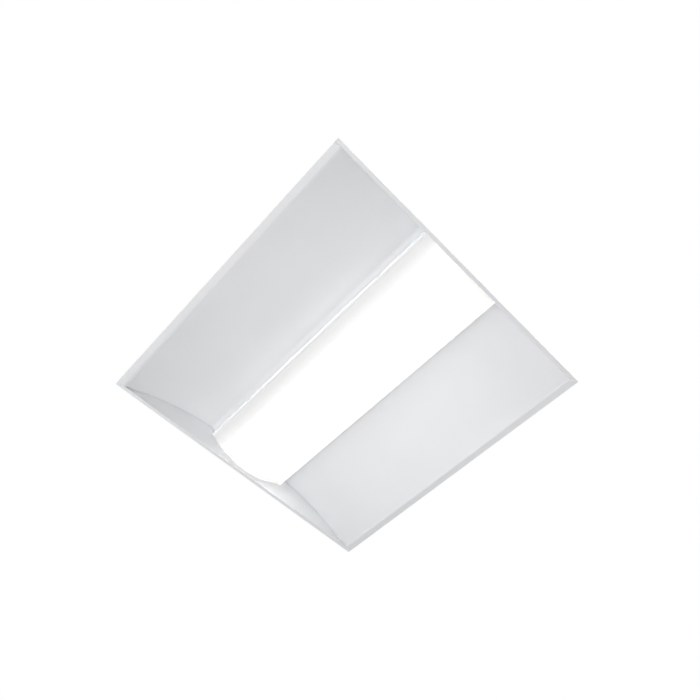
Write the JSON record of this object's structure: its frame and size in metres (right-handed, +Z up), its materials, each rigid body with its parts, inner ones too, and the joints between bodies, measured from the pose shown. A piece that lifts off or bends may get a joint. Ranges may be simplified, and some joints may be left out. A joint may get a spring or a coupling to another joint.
{
  "type": "recessed troffer light",
  "caption": "Square recessed ceiling troffer: folded white housing, curved reflector wings, hinged bowed lens over a lamp tray, driver, wiring plate and swing-out grid arms.",
  "frame": {"origin": "centre of the face that rests on the ceiling grid, at the ceiling plane", "axes": "+Z up into the ceiling, Y along the lens, X across it with the lens hinge on +X"},
  "size_m": [0.6032, 0.6032, 0.0928],
  "materials": {
    "white_enamel": "satin white powder coat, fine orange peel",
    "lens_acrylic": "frosted white acrylic, lit from behind",
    "rail_plastic": "white extruded plastic",
    "pin_steel": "bright drawn wire",
    "spring_steel": "bright spring strip",
    "board_white": "white solder mask",
    "emitter_phosphor": "yellow phosphor face",
    "connector_nylon": "moulded nylon",
    "rivet_aluminium": "bright blind rivets",
    "driver_case": "folded zinc-coated can",
    "zinc_screw": "clear zinc plate",
    "ground_green": "green dyed screw",
    "block_plastic": "light grey moulded plastic",
    "supply_insulation": "thermoplastic wire insulation",
    "lamp_insulation": "thermoplastic wire insulation",
    "grommet_rubber": "moulded rubber",
    "galvanised": "galvanised sheet with fine spangle"
  },
  "bodies": {
    "root": {"housing": "white_enamel", "end_plate_rear": "white_enamel", "end_plate_front": "white_enamel", "wing_right": "white_enamel", "wing_left": "white_enamel", "led_tray": "white_enamel", "catch_clips": "spring_steel", "led_board_left": "board_white", "led_board_right": "board_white", "led_emitters": "emitter_phosphor", "board_connectors": "connector_nylon", "board_rivets": "rivet_aluminium", "catch_clip_rivets": "rivet_aluminium", "wing_rivets": "rivet_aluminium", "grid_arm_rivets": "rivet_aluminium", "driver": "driver_case", "driver_screws": "zinc_screw", "terminal_block_screws": "zinc_screw", "access_plate_screws": "zinc_screw", "end_plate_screws": "zinc_screw", "tray_screws": "zinc_screw", "ground_screw": "ground_green", "terminal_block": "block_plastic", "supply_leads": "supply_insulation", "lamp_leads": "lamp_insulation", "lead_grommets": "grommet_rubber", "access_plate": "galvanised"},
    "lens_door": {"lens": "lens_acrylic", "lens_hinge_rail": "rail_plastic", "lens_latch_rail": "rail_plastic", "lens_hinge_pins": "pin_steel", "lens_strikes": "spring_steel"},
    "grid_arm_rear_right": {"grid_arm_rear_right": "galvanised"},
    "grid_arm_rear_left": {"grid_arm_rear_left": "galvanised"},
    "grid_arm_front_right": {"grid_arm_front_right": "galvanised"},
    "grid_arm_front_left": {"grid_arm_front_left": "galvanised"}
  },
  "joints": [
    {"name": "lens_door_hinge", "type": "hinge", "parent": "root", "child": "lens_door", "pos_m": [0.0882, 0, 0.04], "axis": [0, -1, 0], "range_deg": [0, 90]},
    {"name": "grid_arm_rear_right_pivot", "type": "hinge", "parent": "root", "child": "grid_arm_rear_right", "pos_m": [0.25002, 0.29058, 0.0428], "axis": [0, 0, -1], "range_deg": [0, 90]},
    {"name": "grid_arm_rear_left_pivot", "type": "hinge", "parent": "root", "child": "grid_arm_rear_left", "pos_m": [-0.25002, 0.29058, 0.0428], "axis": [0, 0, 1], "range_deg": [0, 90]},
    {"name": "grid_arm_front_right_pivot", "type": "hinge", "parent": "root", "child": "grid_arm_front_right", "pos_m": [0.25002, -0.29058, 0.0428], "axis": [0, 0, 1], "range_deg": [0, 90]},
    {"name": "grid_arm_front_left_pivot", "type": "hinge", "parent": "root", "child": "grid_arm_front_left", "pos_m": [-0.25002, -0.29058, 0.0428], "axis": [0, 0, -1], "range_deg": [0, 90]}
  ]
}
